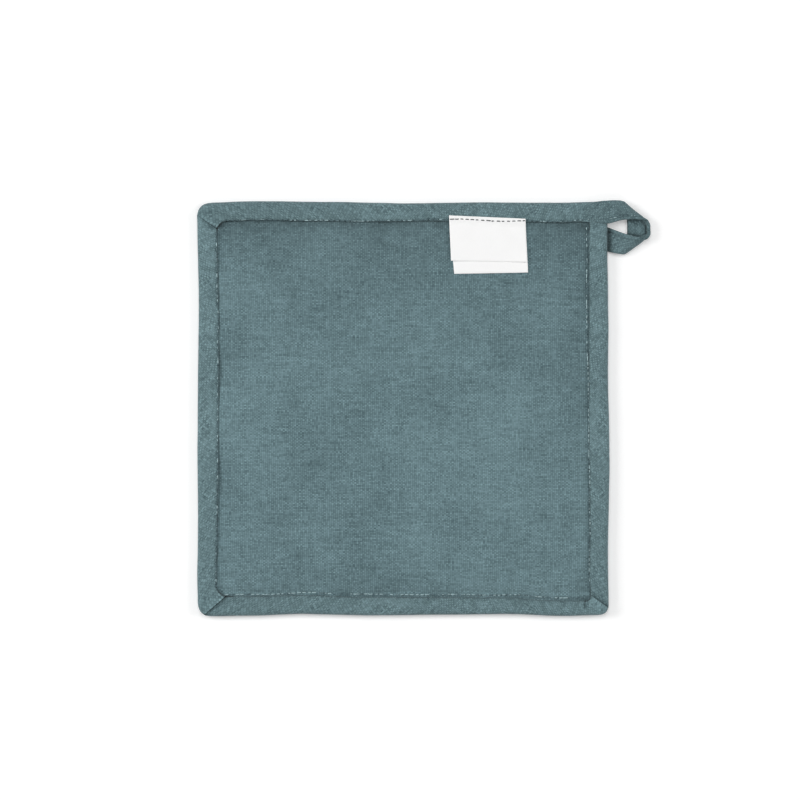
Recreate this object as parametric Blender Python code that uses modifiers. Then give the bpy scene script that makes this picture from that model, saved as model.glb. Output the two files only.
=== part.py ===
"""Square pot holder: two cloth panels over wadding, bound by one folded bias tape that
runs on past a corner as a hanging loop, with a folded ribbon label sewn over the tape.

Metres, +Z up. The origin is on the table, below the middle of the pad, and the pad lies
front face down: +Y is the side with the label, +X the side with the loop.
"""

import math

import bmesh
import bpy
from mathutils import Matrix, Vector

# Pad
PAD_WIDTH = 0.2000
PAD_LENGTH = 0.2008
CORNER_RADIUS = 0.0060
CLOTH = 0.0005
FIT_GAP = 0.0003
WADDING_AT_SEAM = 0.0008
BACK_CROWN = 0.0029
CROWN_LIP = 0.0022
CROWN_LIP_SHARE = 0.32
CROWN_FLANK = 0.0280
FRONT_FLAT_AFTER = 0.0160
SIDE_SWAY = 0.0005

# Bias tape
TAPE = 0.0008
TAPE_REACH = 0.0095
RIM_LIFT = 0.0006
MITRE_STEP = 0.0005
MITRE_RUN = 0.0120
INNER_CORNER_RADIUS = 0.0030

# Hanging loop
LOOP_TAPE = 0.0011
LOOP_LIFT = 0.0001

# Label
LABEL_WIDTH = 0.0374
LABEL_TOP_INSET = 0.0068
LABEL_LEAF = 0.0221
LABEL_LEAN = 0.0015
LABEL_UNDER_LEAF = 0.0284
LABEL_UNDER_LEAN = 0.0026
LABEL_RIBBON = 0.0003
LABEL_CENTRE_X = 0.0412
LABEL_TILT = math.radians(-2.0)

# The folded edge bows in and out a little between the corners. Outward shares of
# SIDE_SWAY at equal stations, clockwise as seen from above.
SWAY = {
    "top": (0.0, 1.0, 0.4, -1.0, 0.2, -0.2, 0.0),
    "right": (0.0, -0.8, 0.2, 0.0, 1.0, -0.6, 0.0),
    "bottom": (0.0, 0.8, -1.0, 0.0, 0.4, -1.0, 0.0),
    "left": (0.0, 0.6, -0.2, 0.4, 0.0, -1.0, 0.0),
}

# The loop as lines across the tape, from its outer edge by its middle to its stitched
# edge. x and y are in tape widths from the pad's corner, and the third value is the
# height, from 0, low on the table, to 1, level with the bound edge. The first two lines
# lie inside the bound edge and the last one under it; the loop turns under at the lines
# in between, like a ribbon folded twice.
LOOP_LINES = (
    ((-1.44, -0.20, 1.00), (-1.44, -0.55, 1.00), (-1.44, -0.89, 1.00)),
    ((-0.54, -0.01, 1.00), (-0.54, -0.46, 1.02), (-0.54, -0.92, 1.03)),
    ((-0.06, 0.09, 0.96), (-0.03, -0.44, 1.02), (-0.01, -0.94, 1.04)),
    ((0.32, 0.10, 0.92), (0.49, -0.39, 1.01), (0.66, -0.86, 1.00)),
    ((0.58, 0.08, 0.75), (0.92, -0.36, 0.93), (1.28, -0.81, 0.96)),
    ((0.77, -0.04, 0.40), (1.32, -0.44, 0.54), (1.78, -0.88, 0.92)),
    ((0.87, -0.39, 0.08), (1.67, -0.75, 0.06), (1.96, -1.05, 0.88)),
    ((0.92, -1.20, 0.02), (1.82, -1.25, -0.11), (1.98, -1.28, 0.86)),
    ((0.90, -1.97, 0.04), (1.68, -1.74, -0.06), (1.95, -1.45, 0.84)),
    ((0.80, -2.37, 0.26), (1.42, -2.14, 0.34), (1.80, -1.62, 0.88)),
    ((0.58, -2.45, 0.52), (1.00, -2.14, 0.70), (1.36, -1.66, 0.86)),
    ((0.28, -2.41, 0.37), (0.47, -1.96, 0.59), (0.66, -1.47, 0.62)),
    ((-0.06, -2.33, 0.07), (-0.06, -1.77, 0.08), (-0.06, -1.21, 0.10)),
    ((-0.68, -2.18, 0.01), (-0.68, -1.61, 0.01), (-0.68, -1.03, 0.01)),
)
LOOP_FULLNESS = (0.4, 0.8) + (1.0,) * 12

# Heights through the bound edge, from the table up
SLOT_LOW = RIM_LIFT + TAPE
SLOT_HIGH = SLOT_LOW + 2 * CLOTH + WADDING_AT_SEAM + 4 * FIT_GAP
RIM_TOP = SLOT_HIGH + TAPE
NOSE_RADIUS = (RIM_TOP - RIM_LIFT - TAPE) / 2
NOSE_INSET = NOSE_RADIUS + TAPE / 2
NOSE_HEIGHT = (RIM_TOP + RIM_LIFT) / 2
BACK_AT_SEAM = SLOT_HIGH - FIT_GAP
FRONT_AT_SEAM = SLOT_LOW + FIT_GAP
TAPE_WIDTH = TAPE_REACH - NOSE_INSET + NOSE_RADIUS * math.pi / 2

# The panels are cut square, so their corners set how far they stay inside the tape.
CORNER_ROOM = CORNER_RADIUS - TAPE - 2 * FIT_GAP
PANEL_INSET = max(TAPE + FIT_GAP, CORNER_RADIUS - CORNER_ROOM / math.sqrt(2))

CORNER_STEPS = 5
SIDE_STEPS = 14
NOSE_STEPS = 6
LOOP_STEPS_PER_LINE = 4
LOOP_STEPS_ACROSS = 6

SIDES = {
    "top": (Vector((1, 0)), Vector((0, 1))),
    "right": (Vector((0, -1)), Vector((1, 0))),
    "bottom": (Vector((-1, 0)), Vector((0, -1))),
    "left": (Vector((0, 1)), Vector((-1, 0))),
}


def clear_scene():
    for obj in list(bpy.data.objects):
        bpy.data.objects.remove(obj)


def collection(name):
    made = bpy.data.collections.new(name)
    bpy.context.scene.collection.children.link(made)
    return made


def material(name, colour, roughness):
    made = bpy.data.materials.new(name)
    made.use_nodes = True
    shader = made.node_tree.nodes["Principled BSDF"]
    shader.inputs["Base Color"].default_value = (*colour, 1)
    shader.inputs["Roughness"].default_value = roughness
    shader.inputs["Metallic"].default_value = 0
    made.diffuse_color = (*colour, 1)
    return made


def add_object(name, mesh, surface, group):
    made = bpy.data.objects.new(name, mesh)
    if surface:
        mesh.materials.append(surface)
    group.objects.link(made)
    return made


def mesh_from(name, built):
    """A mesh from a bmesh, with its faces turned outwards and shaded smooth."""
    bmesh.ops.recalc_face_normals(built, faces=built.faces)
    mesh = bpy.data.meshes.new(name)
    built.to_mesh(mesh)
    built.free()
    mesh.shade_smooth()
    return mesh


def thicken(obj, thickness):
    shell = obj.modifiers.new("cloth thickness", "SOLIDIFY")
    shell.thickness = thickness
    shell.offset = 0
    shell.use_even_offset = True
    return shell


def spline(points, place):
    """The point at place (0 to 1) on a smooth curve through evenly spaced points."""
    last = len(points) - 1
    start = min(int(place * last), last - 1)
    u = place * last - start
    a, b, c, d = (
        points[max(start - 1, 0)],
        points[start],
        points[start + 1],
        points[min(start + 2, last)],
    )
    return (
        b
        + (c - a) * (u / 2)
        + (a * 2 - b * 5 + c * 4 - d) * (u * u / 2)
        + (b * 3 - a - c * 3 + d) * (u**3 / 2)
    )


def half_size(direction):
    """Half of the pad's size along a side that runs in this direction."""
    return abs(direction.x) * PAD_WIDTH / 2 + abs(direction.y) * PAD_LENGTH / 2


def sway(side, share, inset):
    """How far a side stands out: the folded edge bows, the stitched edge is straight."""
    bow = SIDE_SWAY * spline(SWAY[side], min(max(share, 0), 1))
    return bow * (1 - inset / TAPE_REACH)


def outline(inset, corner_radius):
    """Points round the pad, this far inside its outer edge, clockwise from above."""
    radius = max(CORNER_RADIUS - inset, corner_radius)
    points = []
    for side, (along, outward) in SIDES.items():
        long, away = half_size(along), half_size(outward)
        run = long - inset - radius
        for step in range(SIDE_STEPS + 1):
            at = -run + 2 * run * step / SIDE_STEPS
            out = away - inset + sway(side, (at + long) / (2 * long), inset)
            points.append(along * at + outward * out)
        centre = along * run + outward * (away - inset - radius)
        for step in range(1, CORNER_STEPS):
            turn = math.pi / 2 * step / CORNER_STEPS
            points.append(
                centre + (outward * math.cos(turn) + along * math.sin(turn)) * radius
            )
    return points


def tape_section():
    """(inset, height, inner corner radius) down the middle of the folded tape."""
    high, low = RIM_TOP - TAPE / 2, RIM_LIFT + TAPE / 2
    halfway = (TAPE_REACH + NOSE_INSET) / 2
    section = [(TAPE_REACH, high), (halfway, high)]
    for step in range(NOSE_STEPS + 1):
        turn = math.pi * step / NOSE_STEPS
        section.append(
            (
                NOSE_INSET - NOSE_RADIUS * math.sin(turn),
                NOSE_HEIGHT + NOSE_RADIUS * math.cos(turn),
            )
        )
    return section + [(halfway, low), (TAPE_REACH, low)]


def tape_ring(group):
    """The tape folded over the four edges of the pad, as one channel."""
    rings = [
        [(*point, height) for point in outline(inset, INNER_CORNER_RADIUS)]
        for inset, height in tape_section()
    ]
    count = len(rings[0])
    built = bmesh.new()
    bmesh.ops.create_grid(
        built, x_segments=count, y_segments=len(rings) - 1, size=0.5
    )
    for vertex in built.verts:
        station = round((vertex.co.x + 0.5) * count) % count
        ring = round((vertex.co.y + 0.5) * (len(rings) - 1))
        vertex.co = rings[ring][station]
    bmesh.ops.remove_doubles(built, verts=built.verts, dist=FIT_GAP / 100)
    ring = add_object("edge_binding", mesh_from("edge_binding", built), None, group)
    thicken(ring, TAPE)
    return ring


def mitre_fold(name, corner, along, inward, upwards, group):
    """The arm of the tape that is folded over its neighbour at a corner: a thin wedge,
    highest on the diagonal of the corner and fading out along its own arm."""
    skin = RIM_TOP if upwards else RIM_LIFT
    rise = 1 if upwards else -1
    near, far = NOSE_INSET * 0.75, TAPE_REACH - TAPE / 4
    crest, foot = skin + rise * MITRE_STEP, skin - rise * TAPE / 8
    root = skin - rise * TAPE * 0.6
    built = bmesh.new()
    bmesh.ops.create_cube(built, size=2)
    for vertex in built.verts:
        on_fold, inside, on_top = vertex.co.x < 0, vertex.co.y > 0, vertex.co.z > 0
        depth = far if inside else near
        run = depth if on_fold else MITRE_RUN
        place = corner + along * run + inward * depth
        height = (crest if on_fold else foot) if on_top else root
        vertex.co = (*place, height)
    return add_object(name, mesh_from(name, built), None, group)


def pad_corner(right, top):
    return Vector((right * PAD_WIDTH / 2, top * PAD_LENGTH / 2))


def mitre_folds(group):
    """The arm that lies on top at each mitred corner, above and below."""
    folds = {
        "top_left": (pad_corner(-1, 1), Vector((1, 0)), Vector((0, -1))),
        "bottom_left": (pad_corner(-1, -1), Vector((0, 1)), Vector((1, 0))),
        "bottom_right": (pad_corner(1, -1), Vector((-1, 0)), Vector((0, 1))),
    }
    return [
        mitre_fold(f"mitre_{name}_{face}", *place, face == "back", group)
        for name, place in folds.items()
        for face in ("back", "front")
    ]


def loop_strip(group):
    """The tape past the corner: closed flat, turned under twice, and back below the pad.
    It starts thin inside the bound edge and comes out of it at full thickness."""
    low = LOOP_LIFT + LOOP_TAPE / 2
    high = RIM_TOP - TAPE / 2
    corner = pad_corner(1, 1)

    def place(x, y, height):
        flat = corner + Vector((x, y)) * TAPE_WIDTH
        return Vector((*flat, low + (high - low) * height))

    outer, middle, stitched = [
        [place(*point) for point in line] for line in zip(*LOOP_LINES)
    ]
    steps = (len(LOOP_LINES) - 1) * LOOP_STEPS_PER_LINE
    built = bmesh.new()
    bmesh.ops.create_grid(
        built, x_segments=steps, y_segments=LOOP_STEPS_ACROSS, size=0.5
    )
    fullness = []
    for vertex in built.verts:
        along, across = vertex.co.x + 0.5, vertex.co.y + 0.5
        a, b, c = (spline(line, along) for line in (outer, middle, stitched))
        vertex.co = a.lerp(b, across).lerp(b.lerp(c, across), across)
        fullness.append(spline(LOOP_FULLNESS, along))
    strip = add_object("loop_strip", mesh_from("loop_strip", built), None, group)
    full = strip.vertex_groups.new(name="fullness")
    for index, share in enumerate(fullness):
        full.add([index], min(share, 1), "REPLACE")
    shell = thicken(strip, LOOP_TAPE)
    shell.use_even_offset = False
    shell.vertex_group = full.name
    return strip


def edge_binding(surface, parts, cutters):
    """Channel, mitre folds and loop are one strip of tape, so they are joined."""
    ring = tape_ring(parts)
    ring.data.materials.append(surface)
    for piece in [loop_strip(cutters), *mitre_folds(cutters)]:
        piece.hide_render = True
        piece.display_type = "WIRE"
        join = ring.modifiers.new(f"join {piece.name}", "BOOLEAN")
        join.operation = "UNION"
        join.object = piece
    return ring


def rise(distance):
    """How far the padding has risen (0 to 1) at a distance inside the seam: a quick lip
    at the stitching, then a long soft flank up to the middle."""
    lip = 1 - math.exp(-distance / CROWN_LIP)
    flank = 1 - math.exp(-distance / CROWN_FLANK)
    return CROWN_LIP_SHARE * lip + (1 - CROWN_LIP_SHARE) * flank


def crown(x, y):
    """0 under the tape to 1 in the middle of the pad."""
    share = 1.0
    for place, size in ((x, PAD_WIDTH), (y, PAD_LENGTH)):
        inside = max(size / 2 - abs(place) - TAPE_REACH, 0)
        share *= rise(inside) / rise(size / 2 - TAPE_REACH)
    return share


def sag(x, y):
    """0 under the tape to 1 where the front lies flat on the table."""
    share = 1.0
    for place, size in ((x, PAD_WIDTH), (y, PAD_LENGTH)):
        inside = max(size / 2 - abs(place) - TAPE_REACH, 0)
        reach = min(inside / FRONT_FLAT_AFTER, 1)
        share *= reach * reach * (3 - 2 * reach)
    return share


def back_top(x, y):
    return BACK_AT_SEAM + BACK_CROWN * crown(x, y)


def front_bottom(x, y):
    return FRONT_AT_SEAM * (1 - sag(x, y))


def grid_lines(size):
    """Places of a layer's grid lines from its middle outwards: close together by the
    seam, where the padding rises, and wide apart in the middle."""
    edge = size / 2 - PANEL_INSET
    seam = size / 2 - TAPE_REACH
    inner = [
        seam - CROWN_LIP * 0.6,
        seam - CROWN_LIP * 1.5,
        seam - FRONT_FLAT_AFTER * 0.45,
        seam - FRONT_FLAT_AFTER * 0.7,
        seam - FRONT_FLAT_AFTER,
        seam - CROWN_FLANK,
        seam - CROWN_FLANK * 1.7,
        (seam - CROWN_FLANK * 1.7) / 2,
    ]
    outwards = [0.0, *sorted(inner), seam, edge]
    return [-place for place in reversed(outwards[1:])] + outwards


def cloth_layer(name, bottom, top, surface, group):
    """One layer of the pad, from its underside bottom(x, y) to its upper side top(x, y)."""
    across, down = grid_lines(PAD_WIDTH), grid_lines(PAD_LENGTH)
    built = bmesh.new()
    bmesh.ops.create_grid(
        built, x_segments=len(across) - 1, y_segments=len(down) - 1, size=0.5
    )
    for vertex in built.verts:
        column = round((vertex.co.x + 0.5) * (len(across) - 1))
        row = round((vertex.co.y + 0.5) * (len(down) - 1))
        x, y = across[column], down[row]
        vertex.co = (x, y, bottom(x, y))
    raised = bmesh.ops.extrude_face_region(built, geom=built.faces[:])
    for vertex in raised["geom"]:
        if isinstance(vertex, bmesh.types.BMVert):
            vertex.co.z = top(vertex.co.x, vertex.co.y)
    return add_object(name, mesh_from(name, built), surface, group)


def label_path():
    """(distance below the label's top edge, layers of ribbon below) along the ribbon:
    up the long under leaf, over the fold and down the short upper leaf."""
    under_steps, upper_steps, fold_steps = 11, 9, 4
    path = [
        (LABEL_UNDER_LEAF * (1 - step / under_steps), 0.0)
        for step in range(under_steps)
    ]
    fold = LABEL_RIBBON
    for step in range(fold_steps + 1):
        turn = math.pi * step / fold_steps
        path.append((fold * (1 - math.sin(turn)), (1 - math.cos(turn)) / 2))
    return path + [
        (LABEL_LEAF * step / upper_steps, 1.0) for step in range(1, upper_steps + 1)
    ]


def care_label(surface, group):
    """A ribbon folded once, with its fold on the tape and both leaves over the panel."""
    path, columns = label_path(), 8
    hinge = Vector((LABEL_CENTRE_X, PAD_LENGTH / 2 - LABEL_TOP_INSET))
    turn = Matrix.Rotation(LABEL_TILT, 2)
    built = bmesh.new()
    bmesh.ops.create_grid(
        built, x_segments=columns, y_segments=len(path) - 1, size=0.5
    )
    for vertex in built.verts:
        row = round((vertex.co.y + 0.5) * (len(path) - 1))
        down, layer = path[row]
        lean = down * (
            LABEL_LEAN / LABEL_LEAF if layer > 0.5 else LABEL_UNDER_LEAN / LABEL_UNDER_LEAF
        )
        place = hinge + turn @ Vector((vertex.co.x * LABEL_WIDTH + lean, -down))
        bed = max(RIM_TOP, back_top(*place)) + FIT_GAP + LABEL_RIBBON / 2
        vertex.co = (*place, bed + layer * 2 * LABEL_RIBBON)
    label = add_object("care_label", mesh_from("care_label", built), surface, group)
    thicken(label, LABEL_RIBBON)
    return label


def build():
    clear_scene()
    parts, cutters = collection("pot_holder"), collection("joined_pieces")
    teal = material("teal_cloth", (0.127, 0.202, 0.223), 0.9)
    white = material("satin_ribbon", (0.80, 0.79, 0.78), 0.45)
    cream = material("cotton_wadding", (0.72, 0.69, 0.61), 0.95)

    def front_top(x, y):
        return front_bottom(x, y) + CLOTH

    def back_bottom(x, y):
        return back_top(x, y) - CLOTH

    cloth_layer("front_panel", front_bottom, front_top, teal, parts)
    cloth_layer(
        "wadding",
        lambda x, y: front_top(x, y) + FIT_GAP,
        lambda x, y: back_bottom(x, y) - FIT_GAP,
        cream,
        parts,
    )
    cloth_layer("back_panel", back_bottom, back_top, teal, parts)
    edge_binding(teal, parts, cutters)
    care_label(white, parts)


build()
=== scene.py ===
import math
from bisect import bisect_left

import bpy
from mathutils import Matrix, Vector, noise
from mathutils.bvhtree import BVHTree
from mathutils.kdtree import KDTree


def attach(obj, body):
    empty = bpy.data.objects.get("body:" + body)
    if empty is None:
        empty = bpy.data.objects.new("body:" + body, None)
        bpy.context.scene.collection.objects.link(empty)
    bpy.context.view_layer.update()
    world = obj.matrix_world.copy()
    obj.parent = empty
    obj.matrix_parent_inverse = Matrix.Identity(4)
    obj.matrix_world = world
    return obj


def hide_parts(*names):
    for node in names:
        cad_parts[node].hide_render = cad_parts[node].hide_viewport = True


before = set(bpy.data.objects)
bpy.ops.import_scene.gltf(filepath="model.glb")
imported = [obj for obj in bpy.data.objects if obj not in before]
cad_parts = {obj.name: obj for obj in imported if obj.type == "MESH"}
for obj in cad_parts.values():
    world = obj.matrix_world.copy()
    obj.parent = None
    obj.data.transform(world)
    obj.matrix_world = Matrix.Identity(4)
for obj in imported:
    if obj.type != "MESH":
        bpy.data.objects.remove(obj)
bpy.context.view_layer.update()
print("frame loaded:", ", ".join(sorted(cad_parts)))

# The photograph's frame: 800 by 800, so many millimetres a pixel, with the middle of
# the pad at this pixel. Lengths in the dictionaries are in millimetres unless a note
# says pixels.
photo = {
    "size": 800,
    "mmPerPixel": 0.487,
    "padMiddle": (402.9, 408.6),
    "imageMiddle": (399.6, 399.9),
}
mm = 0.001

padShape = {
    "width": 200.0,
    "length": 200.8,
    "seamInset": 9.5,
    "edgeInset": 3.2,
    "backAtSeam": 4.1,
    "backCrown": 2.9,
    "frontAtSeam": 1.7,
    "frontFlatAfter": 16.0,
}


def fromPhoto(x, y, z=0.0):
    middleX, middleY = photo["padMiddle"]
    scale = photo["mmPerPixel"]
    return Vector(((x - middleX) * scale, (middleY - y) * scale, z))


def flatLine(points):
    return [fromPhoto(*point).to_2d() for point in points]


def padHalf(inset):
    # half the pad's width and length, less an inset on every side
    return padShape["width"] / 2 - inset, padShape["length"] / 2 - inset


def evenly(count):
    # shares from 0 to 1 in so many equal steps
    return [step / count for step in range(count + 1)]


def smoothStep(zero, one, value):
    # 0 at the first place to 1 at the second, whichever of them is the larger
    share = min(max((value - zero) / (one - zero), 0.0), 1.0)
    return share * share * (3 - 2 * share)


def alongCurve(points, place):
    # smooth curve through points that stand at equal steps, place runs 0 to 1
    last = len(points) - 1
    start = min(max(int(place * last), 0), last - 1)
    u = place * last - start
    a, b = points[max(start - 1, 0)], points[start]
    c, d = points[start + 1], points[min(start + 2, last)]
    bend = (a * 2 - b * 5 + c * 4 - d) * (u * u / 2)
    return b + (c - a) * (u / 2) + bend + (b * 3 - a - c * 3 + d) * (u**3 / 2)


def alongTable(table, place):
    # smooth reading of a table of (place, value), level at each entry
    for (a, low), (b, high) in zip(table, table[1:]):
        if place <= b:
            return low + (high - low) * smoothStep(a, b, place)
    return table[-1][1]


def runningLengths(points):
    # how far along their line each of the points is
    lengths = [0.0]
    for a, b in zip(points, points[1:]):
        lengths.append(lengths[-1] + (b - a).length)
    return lengths


def pointAlong(points, lengths, distance):
    distance = min(max(distance, 0), lengths[-1])
    step = min(max(bisect_left(lengths, distance), 1), len(points) - 1)
    span = lengths[step] - lengths[step - 1]
    share = (distance - lengths[step - 1]) / span if span else 0
    return points[step - 1].lerp(points[step], share)


def ripple(x, y, size, seed):
    # even noise of about -1 to 1, with features of this size in millimetres
    return noise.noise(Vector((x / size, y / size, seed * 7.3)))


def offLine(point, start, end):
    # how far a flat point is from a straight piece of line
    share = (point - start).dot(end - start) / (end - start).length_squared
    return (point - start.lerp(end, min(max(share, 0), 1))).length


def makeActive(piece):
    bpy.ops.object.select_all(action="DESELECT")
    piece.select_set(True)
    bpy.context.view_layer.objects.active = piece


def closeMesh(piece):
    # merge the points where its seams meet, and turn its faces outwards
    makeActive(piece)
    bpy.ops.object.mode_set(mode="EDIT")
    bpy.ops.mesh.select_all(action="SELECT")
    bpy.ops.mesh.remove_doubles(threshold=0.000004)
    bpy.ops.mesh.normals_make_consistent(inside=False)
    bpy.ops.object.mode_set(mode="OBJECT")


def clothGrid(name, columns, rows, placePoint, placeUv, placeShade=None):
    # a grid primitive whose points are laid out by placePoint(column, row) in
    # millimetres, with its own UV map in metres; its shade attribute darkens the cloth
    bpy.ops.object.select_all(action="DESELECT")
    bpy.ops.mesh.primitive_grid_add(
        x_subdivisions=columns, y_subdivisions=rows, size=1, location=(0, 0, 0)
    )
    piece = bpy.context.object
    piece.name = piece.data.name = name
    mesh = piece.data
    for uv in mesh.uv_layers.active.data:
        u, v = uv.uv
        uv.uv = placeUv(u * columns, v * rows)
    shades = mesh.attributes.new("shade", "FLOAT", "POINT").data
    for vertex, shade in zip(mesh.vertices, shades):
        column = round((vertex.co.x + 0.5) * columns)
        row = round((vertex.co.y + 0.5) * rows)
        vertex.co = placePoint(column, row) * mm
        shade.value = placeShade(column, row) if placeShade else 0.0
    bpy.ops.object.shade_smooth()
    return piece


def applyModifier(piece, kind, **settings):
    makeActive(piece)
    modifier = piece.modifiers.new(kind.lower(), kind)
    for name, value in settings.items():
        setattr(modifier, name, value)
    bpy.ops.object.modifier_apply(modifier=modifier.name)


def surfaceTree(pieces):
    points, faces = [], []
    for piece in pieces:
        start = len(points)
        points += [vertex.co.copy() for vertex in piece.data.vertices]
        faces += [[index + start for index in face.vertices] for face in piece.data.polygons]
    return BVHTree.FromPolygons(points, faces)


def heightReader(tree, below=False):
    # reads how high a surface lies at a place, as seen from above or from below
    start, way = (-0.05, 1) if below else (0.05, -1)

    def read(x, y):
        hit = tree.ray_cast(Vector((x * mm, y * mm, start)), Vector((0, 0, way)))
        return hit[0].z / mm if hit[0] else 0.0

    return read


def finishPiece(piece, material, nodes=()):
    piece.data.materials.clear()
    piece.data.materials.append(material)
    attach(piece, "root")
    if nodes:
        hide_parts(*nodes)


# Shader node groups

def newGroup(name, inputs, outputs):
    group = bpy.data.node_groups.new(name, "ShaderNodeTree")
    for title, kind, value in inputs:
        socket = group.interface.new_socket(
            title, in_out="INPUT", socket_type="NodeSocket" + kind
        )
        if value is not None:
            socket.default_value = value
    for title, kind in outputs:
        group.interface.new_socket(title, in_out="OUTPUT", socket_type="NodeSocket" + kind)
    start = group.nodes.new("NodeGroupInput")
    end = group.nodes.new("NodeGroupOutput")
    return group, NodeDesk(group), start.outputs, end.inputs


class NodeDesk:
    # short ways to add nodes to one tree
    def __init__(self, tree):
        self.tree = tree

    def fill(self, node, given):
        # each input gets a link, or a constant on its socket
        for key, value in given.items():
            if hasattr(value, "is_output"):
                self.tree.links.new(value, node.inputs[key])
            else:
                node.inputs[key].default_value = value

    def add(self, kind, given=None, **settings):
        node = self.tree.nodes.new("ShaderNode" + kind)
        for key, value in settings.items():
            setattr(node, key, value)
        self.fill(node, given or {})
        return node

    def math(self, operation, *values, clamp=False):
        given = dict(enumerate(values))
        return self.add("Math", given, operation=operation, use_clamp=clamp).outputs[0]

    def plus(self, a, b):
        return self.math("ADD", a, b)

    def minus(self, a, b):
        return self.math("SUBTRACT", a, b)

    def times(self, a, b):
        return self.math("MULTIPLY", a, b)

    def scaled(self, value, share, base):
        return self.math("MULTIPLY_ADD", value, share, base)

    def swing(self, value, amount, base=0.0):
        # a value of 0 to 1, as so much less or more than the base
        return self.scaled(self.minus(value, 0.5), amount, base)

    def mix(self, share, a, b):
        return self.add("Mix", {0: share, 2: a, 3: b}, data_type="FLOAT").outputs[0]

    def mixColour(self, share, a, b):
        return self.add("Mix", {0: share, 6: a, 7: b}, data_type="RGBA").outputs[2]

    def combine(self, x, y, z=0.0):
        return self.add("CombineXYZ", {0: x, 1: y, 2: z}).outputs[0]

    def separate(self, vector):
        return self.add("SeparateXYZ", {0: vector}).outputs

    def coordinates(self, kind):
        return self.add("TexCoord").outputs[kind]

    def noise(self, vector, scale, detail=2.0, roughness=0.5):
        given = {"Vector": vector, "Scale": scale, "Detail": detail, "Roughness": roughness}
        return self.add("TexNoise", given).outputs["Fac"]

    def random(self, vector):
        node = self.add("TexWhiteNoise", {"Vector": vector}, noise_dimensions="3D")
        return node.outputs["Value"]

    def surface(self, height, depth, given):
        # the material's own shader, with a bump of this height and depth
        bump = self.add("Bump", {"Strength": 1.0, "Distance": depth, "Height": height})
        given = {"Specular IOR Level": 0.25, "Normal": bump.outputs["Normal"], **given}
        self.fill(self.tree.nodes["Principled BSDF"], given)


def makeWeaveGroup():
    # plain weave of slub yarn: warp along Y, weft along X
    group, desk, given, made = newGroup(
        "plainWeave",
        [
            ("Vector", "Vector", None),
            ("Warp per metre", "Float", 1060.0),
            ("Weft per metre", "Float", 1400.0),
            ("Dark yarn", "Color", (0.06, 0.1, 0.11, 1)),
            ("Light yarn", "Color", (0.22, 0.33, 0.36, 1)),
            ("Slub", "Float", 1.0),
            ("Mottle", "Float", 1.0),
            ("Relief shade", "Float", 0.38),
        ],
        [("Color", "Color"), ("Height", "Float")],
    )
    vector = given["Vector"]
    x, y, _ = desk.separate(vector)
    # the yarns wander a little, so the rows aren't ruled
    across = desk.swing(desk.noise(vector, 90.0, 1.0), 0.0011, x)
    down = desk.swing(desk.noise(desk.combine(y, x, 0.37), 90.0, 1.0), 0.0011, y)
    across = desk.times(across, given["Warp per metre"])
    down = desk.times(down, given["Weft per metre"])
    warpRow, weftRow = (desk.math("FLOOR", place) for place in (across, down))
    warpRound, weftRound = (
        desk.math("SINE", desk.times(desk.math("FRACT", place), math.pi))
        for place in (across, down)
    )
    warpOnTop = desk.math("PINGPONG", desk.plus(warpRow, weftRow), 1.0)
    warpHeight = desk.times(warpRound, desk.scaled(weftRound, 0.55, 0.45))
    weftHeight = desk.times(weftRound, desk.scaled(warpRound, 0.55, 0.45))

    def yarnTone(row, cross, along, seed, slubsPerMetre, slubShare):
        # each yarn has its own tone, so has each float, and slubs run along the yarn
        place = desk.combine(desk.times(row, 3.7), desk.times(along, slubsPerMetre), seed)
        tone = desk.swing(desk.random(desk.combine(row, seed, 0.0)), 0.10)
        tone = desk.swing(desk.random(desk.combine(row, cross, seed)), 0.27, tone)
        return desk.swing(desk.noise(place, 1.0, 1.0), slubShare, tone)

    warpTone = yarnTone(warpRow, weftRow, y, 3.0, 260.0, 0.5)
    weftTone = desk.plus(yarnTone(weftRow, warpRow, x, 11.0, 110.0, 0.95), 0.10)
    height = desk.mix(warpOnTop, weftHeight, warpHeight)
    tone = desk.times(desk.mix(warpOnTop, weftTone, warpTone), given["Slub"])
    patches = desk.swing(desk.noise(vector, 330.0), 0.17)
    patches = desk.swing(desk.noise(vector, 30.0), 0.42, patches)
    tone = desk.scaled(patches, given["Mottle"], tone)
    # painted shade: the yarns are darker where they dip between the crossings
    tone = desk.scaled(desk.minus(height, 0.64), given["Relief shade"], tone)
    tone = desk.math("ADD", tone, 0.5, clamp=True)
    colour = desk.mixColour(tone, given["Dark yarn"], given["Light yarn"])
    desk.tree.links.new(colour, made["Color"])
    desk.tree.links.new(height, made["Height"])
    return group


def makeLintGroup():
    # fine lint that roughens a surface
    group, desk, given, made = newGroup(
        "lint", [("Vector", "Vector", None), ("Size", "Float", 5000.0)], [("Height", "Float")]
    )
    lint = desk.noise(given["Vector"], given["Size"], 3.0, 0.7)
    desk.tree.links.new(lint, made["Height"])
    return group


weaveGroup = makeWeaveGroup()
lintGroup = makeLintGroup()

# Looks of the cloths, threads and ribbon. A thread has a dull and a lit colour.
clothLook = {
    "weave": {
        "Warp per metre": 1060.0,
        "Weft per metre": 1400.0,
        "Dark yarn": (0.040, 0.074, 0.083, 1),
    },
    "panel": {
        "Light yarn": (0.233, 0.366, 0.400, 1),
        "Slub": 1.0,
        "Mottle": 1.0,
        "Relief shade": 0.38,
    },
    "tape": {
        "Light yarn": (0.222, 0.344, 0.370, 1),
        "Slub": 1.25,
        "Mottle": 0.7,
        "Relief shade": 0.28,
    },
    "bumpDepth": 0.00012,
    "thread": ((0.115, 0.188, 0.210, 1), (0.50, 0.68, 0.71, 1)),
    # the same thread, darkened with painted shade where it crosses the label
    "shadedLabelThread": ((0.020, 0.030, 0.034, 1), (0.10, 0.13, 0.14, 1)),
    "threadTwist": 16000.0,
    "ribbon": (0.96, 0.96, 0.957, 1),
    "wadding": (0.72, 0.69, 0.61, 1),
}


def newMaterial(name):
    material = bpy.data.materials.new(name)
    material.use_nodes = True
    return material, NodeDesk(material.node_tree)


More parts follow.
